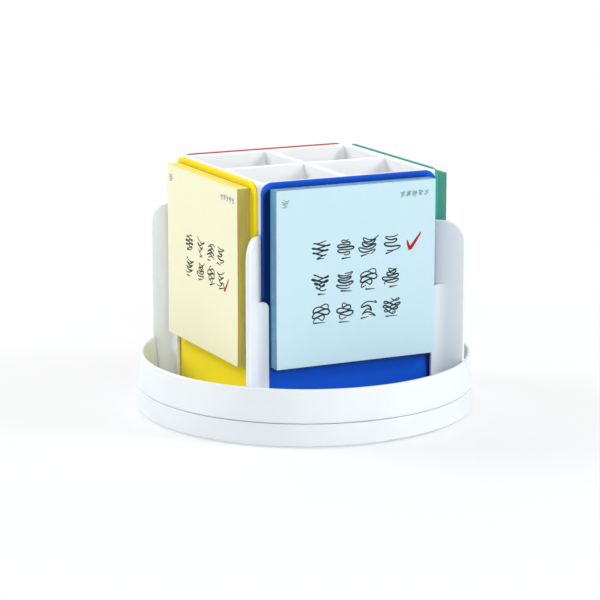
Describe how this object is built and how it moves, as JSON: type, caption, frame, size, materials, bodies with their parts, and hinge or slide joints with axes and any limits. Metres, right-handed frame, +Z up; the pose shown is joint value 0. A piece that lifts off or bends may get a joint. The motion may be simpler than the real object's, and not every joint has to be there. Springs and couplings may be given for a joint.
{
  "type": "revolving memo pad and pen organizer",
  "caption": "Round revolving desk organizer: a square pen column with coloured lift-out memo pad plates on its faces, corner fins and a rimmed tray on a low base.",
  "frame": {"origin": "centre of the rest plane under the rubber feet, on the turntable's axis", "axes": "+Z up along the turntable's axis; the blue plate faces -Y, green +X, red +Y, yellow -X"},
  "size_m": [0.1504, 0.1504, 0.1102],
  "materials": {
    "white_plastic": "satin gloss, moulded",
    "blue_plastic": "satin gloss, moulded",
    "green_plastic": "satin gloss, moulded",
    "red_plastic": "satin gloss, moulded",
    "yellow_plastic": "satin gloss, moulded",
    "blue_paper": "uncoated pad paper",
    "green_paper": "uncoated pad paper",
    "pink_paper": "uncoated pad paper",
    "yellow_paper": "uncoated pad paper",
    "backing_card": "plain card",
    "black_rubber": "matte",
    "race_plastic": "smooth acetal",
    "cage_plastic": "smooth nylon",
    "bearing_steel": "polished",
    "steel": "zinc plated"
  },
  "bodies": {
    "base": {"base_shell": "white_plastic", "rubber_feet": "black_rubber", "lower_race": "race_plastic", "lower_race_screws": "steel", "pivot_post": "steel", "pivot_base_screw": "steel", "pivot_washer": "steel", "pivot_cap_screw": "steel"},
    "turntable": {"tray": "white_plastic", "hub_bush": "race_plastic", "upper_race": "race_plastic", "upper_race_screws": "steel", "column": "white_plastic", "pen_insert": "white_plastic", "column_screws": "steel", "fin_front_left": "white_plastic", "fin_front_right": "white_plastic", "fin_back_right": "white_plastic", "fin_back_left": "white_plastic", "fin_pins": "steel"},
    "ball_ring": {"ball_cage": "cage_plastic", "bearing_balls": "bearing_steel"},
    "front_module": {"front_plate": "blue_plastic", "front_pad_backing": "backing_card", "front_memo_pad": "blue_paper"},
    "right_module": {"right_plate": "green_plastic", "right_pad_backing": "backing_card", "right_memo_pad": "green_paper"},
    "back_module": {"back_plate": "red_plastic", "back_pad_backing": "backing_card", "back_memo_pad": "pink_paper"},
    "left_module": {"left_plate": "yellow_plastic", "left_pad_backing": "backing_card", "left_memo_pad": "yellow_paper"}
  },
  "joints": [
    {"name": "turntable_spin", "type": "hinge", "parent": "base", "child": "turntable", "pos_m": [0, 0, 0], "axis": [0, 0, 1], "continuous": true},
    {"name": "ball_ring_spin", "type": "hinge", "parent": "base", "child": "ball_ring", "pos_m": [0, 0, 0], "axis": [0, 0, 1], "continuous": true},
    {"name": "front_plate_lift", "type": "slide", "parent": "turntable", "child": "front_module", "axis": [0, 0, 1], "range_m": [0, 0.05]},
    {"name": "right_plate_lift", "type": "slide", "parent": "turntable", "child": "right_module", "axis": [0, 0, 1], "range_m": [0, 0.05]},
    {"name": "back_plate_lift", "type": "slide", "parent": "turntable", "child": "back_module", "axis": [0, 0, 1], "range_m": [0, 0.05]},
    {"name": "left_plate_lift", "type": "slide", "parent": "turntable", "child": "left_module", "axis": [0, 0, 1], "range_m": [0, 0.05]}
  ],
  "couplings": [
    {"joint": "ball_ring_spin", "follows": "turntable_spin", "ratio": 0.5}
  ]
}
